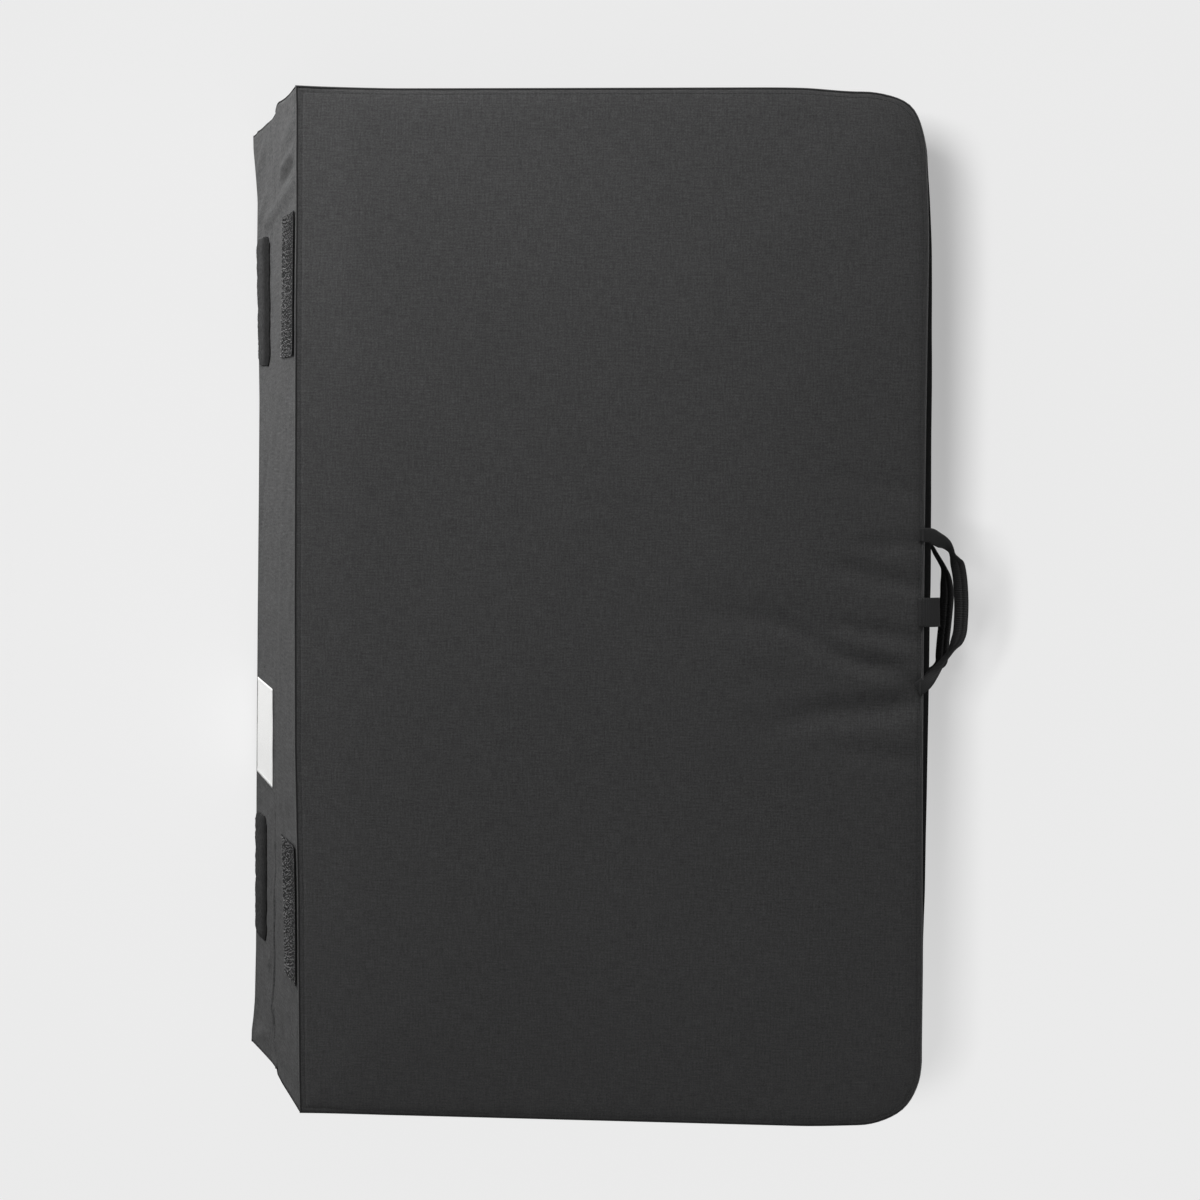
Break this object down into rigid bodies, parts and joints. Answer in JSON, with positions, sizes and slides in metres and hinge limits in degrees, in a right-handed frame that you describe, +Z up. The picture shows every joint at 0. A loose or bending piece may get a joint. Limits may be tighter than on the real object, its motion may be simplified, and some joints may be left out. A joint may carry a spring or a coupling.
{
  "type": "bouldering crash pad",
  "caption": "Folding foam landing pad in a cloth cover with a mitred hinge, grab handles, hook and loop strips on the hinge faces and shoulder straps underneath.",
  "frame": {"origin": "on the floor under the middle of the folded pad's bounding box", "axes": "+X from the hinge to the open end with the handles, +Y along the hinge, +Z up"},
  "size_m": [0.6861, 0.9388, 0.2155],
  "materials": {
    "grey_cloth": "coarse woven pack cloth, matt, dark neutral grey",
    "dark_cloth": "woven pack cloth, matt, near black",
    "strap_cloth": "padded strap cloth, matt",
    "white_cloth": "smooth woven ribbon, plain white",
    "webbing": "ribbed polyester webbing, slightly satin",
    "hook_tape": "ribbed hook tape, slightly shiny",
    "loop_tape": "fuzzy loop pile, matt",
    "zip_tape": "woven zip tape with coil teeth",
    "firm_foam": "closed-cell foam, fine even skin",
    "soft_foam": "open-cell foam, matt",
    "slider_metal": "black coated die-cast",
    "buckle_plastic": "moulded acetal, fine satin"
  },
  "bodies": {
    "lower_half": {"lower_outer_panel": "grey_cloth", "lower_landing_panel": "dark_cloth", "lower_boxing": "dark_cloth", "lower_spine_panel": "grey_cloth", "lower_firm_foam": "firm_foam", "lower_soft_foam": "soft_foam", "lower_zip_tape": "zip_tape", "hinge_binding": "dark_cloth", "loop_strip_far": "loop_tape", "loop_strip_near": "loop_tape", "blank_patch": "white_cloth", "left_top_anchor": "webbing", "left_bottom_anchor": "webbing", "right_top_anchor": "webbing", "right_bottom_anchor": "webbing"},
    "upper_half": {"upper_outer_panel": "grey_cloth", "upper_landing_panel": "dark_cloth", "upper_boxing": "dark_cloth", "upper_spine_panel": "grey_cloth", "upper_firm_foam": "firm_foam", "upper_soft_foam": "soft_foam", "upper_zip_tape": "zip_tape", "hook_strip_far": "hook_tape", "hook_strip_near": "hook_tape"},
    "upper_grab_handle": {"upper_handle": "webbing"},
    "lower_grab_handle": {"lower_handle": "webbing"},
    "tab": {"end_tab": "webbing"},
    "lower_slider": {"lower_zip_slider": "slider_metal"},
    "upper_slider": {"upper_zip_slider": "slider_metal"},
    "left_strap": {"left_shoulder_pad": "strap_cloth", "left_strap_webbing": "webbing", "left_ladder_lock": "buckle_plastic"},
    "right_strap": {"right_shoulder_pad": "strap_cloth", "right_strap_webbing": "webbing", "right_ladder_lock": "buckle_plastic"}
  },
  "joints": [
    {"name": "fold", "type": "hinge", "parent": "lower_half", "child": "upper_half", "pos_m": [-0.29892, 0, 0.1079], "axis": [0, -1, 0], "range_deg": [0, 180]},
    {"name": "upper_handle_swing", "type": "hinge", "parent": "upper_half", "child": "upper_grab_handle", "pos_m": [0.30298, 0, 0.2089], "axis": [0, -1, 0], "range_deg": [0, 90]},
    {"name": "lower_handle_swing", "type": "hinge", "parent": "lower_half", "child": "lower_grab_handle", "pos_m": [0.30298, 0, 0.1068], "axis": [0, -1, 0], "range_deg": [0, 60]},
    {"name": "end_tab_flex", "type": "hinge", "parent": "upper_half", "child": "tab", "pos_m": [0.30298, 0, 0.2089], "axis": [0, -1, 0], "range_deg": [0, 90]},
    {"name": "lower_zip_run", "type": "slide", "parent": "lower_half", "child": "lower_slider", "axis": [-1, 0, 0], "range_m": [0, 0.348]},
    {"name": "upper_zip_run", "type": "slide", "parent": "upper_half", "child": "upper_slider", "axis": [-1, 0, 0], "range_m": [0, 0.348]},
    {"name": "left_strap_swing", "type": "hinge", "parent": "lower_half", "child": "left_strap", "pos_m": [-0.05892, 0, 0.006], "axis": [0, -1, 0], "range_deg": [0, 90]},
    {"name": "right_strap_swing", "type": "hinge", "parent": "lower_half", "child": "right_strap", "pos_m": [0.06108, 0, 0.006], "axis": [0, 1, 0], "range_deg": [0, 90]}
  ]
}
